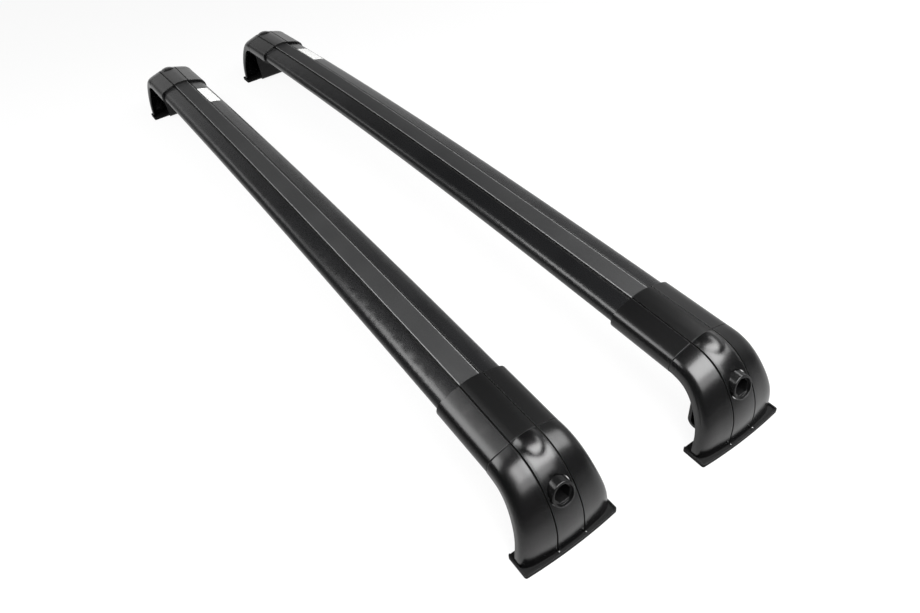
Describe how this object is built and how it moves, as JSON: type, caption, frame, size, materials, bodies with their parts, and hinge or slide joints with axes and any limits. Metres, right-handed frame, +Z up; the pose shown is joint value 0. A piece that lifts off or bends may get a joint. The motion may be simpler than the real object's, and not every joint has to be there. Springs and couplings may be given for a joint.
{
  "type": "roof_crossbars",
  "caption": "Arched black aluminium roof crossbars with a wing section, rubber top strips and moulded feet with hexagon socket fixings",
  "frame": {"origin": "on the floor under the middle of the pair", "axes": "+X along the bars to the right-hand feet, +Y towards the longer front bar, +Z up"},
  "size_m": [1.3012, 0.329, 0.1105],
  "materials": {
    "bar_paint": "satin black powder coat",
    "strip_rubber": "matt dark grey rubber",
    "sleeve_plastic": "satin black, fine grain on the centre panel",
    "cover_plastic": "satin black moulding",
    "pad_rubber": "matt black rubber",
    "bracket_paint": "black coated steel",
    "barrel_paint": "black coated, slightly shiny",
    "fastener_steel": "plated steel"
  },
  "bodies": {
    "root": {"front_bar": "bar_paint", "front_top_strip": "strip_rubber", "front_right_sleeve": "sleeve_plastic", "front_right_foot_cover": "cover_plastic", "front_right_base_pad": "pad_rubber", "front_right_bracket": "bracket_paint", "front_right_socket_barrel": "barrel_paint", "front_right_washer": "fastener_steel", "front_right_stud": "fastener_steel", "front_right_nut": "fastener_steel", "front_right_tongue_screws": "fastener_steel", "front_left_sleeve": "sleeve_plastic", "front_left_foot_cover": "cover_plastic", "front_left_base_pad": "pad_rubber", "front_left_bracket": "bracket_paint", "front_left_socket_barrel": "barrel_paint", "front_left_washer": "fastener_steel", "front_left_stud": "fastener_steel", "front_left_nut": "fastener_steel", "front_left_tongue_screws": "fastener_steel", "rear_bar": "bar_paint", "rear_top_strip": "strip_rubber", "rear_right_sleeve": "sleeve_plastic", "rear_right_foot_cover": "cover_plastic", "rear_right_base_pad": "pad_rubber", "rear_right_bracket": "bracket_paint", "rear_right_socket_barrel": "barrel_paint", "rear_right_washer": "fastener_steel", "rear_right_stud": "fastener_steel", "rear_right_nut": "fastener_steel", "rear_right_tongue_screws": "fastener_steel", "rear_left_sleeve": "sleeve_plastic", "rear_left_foot_cover": "cover_plastic", "rear_left_base_pad": "pad_rubber", "rear_left_bracket": "bracket_paint", "rear_left_socket_barrel": "barrel_paint", "rear_left_washer": "fastener_steel", "rear_left_stud": "fastener_steel", "rear_left_nut": "fastener_steel", "rear_left_tongue_screws": "fastener_steel"}
  },
  "joints": []
}
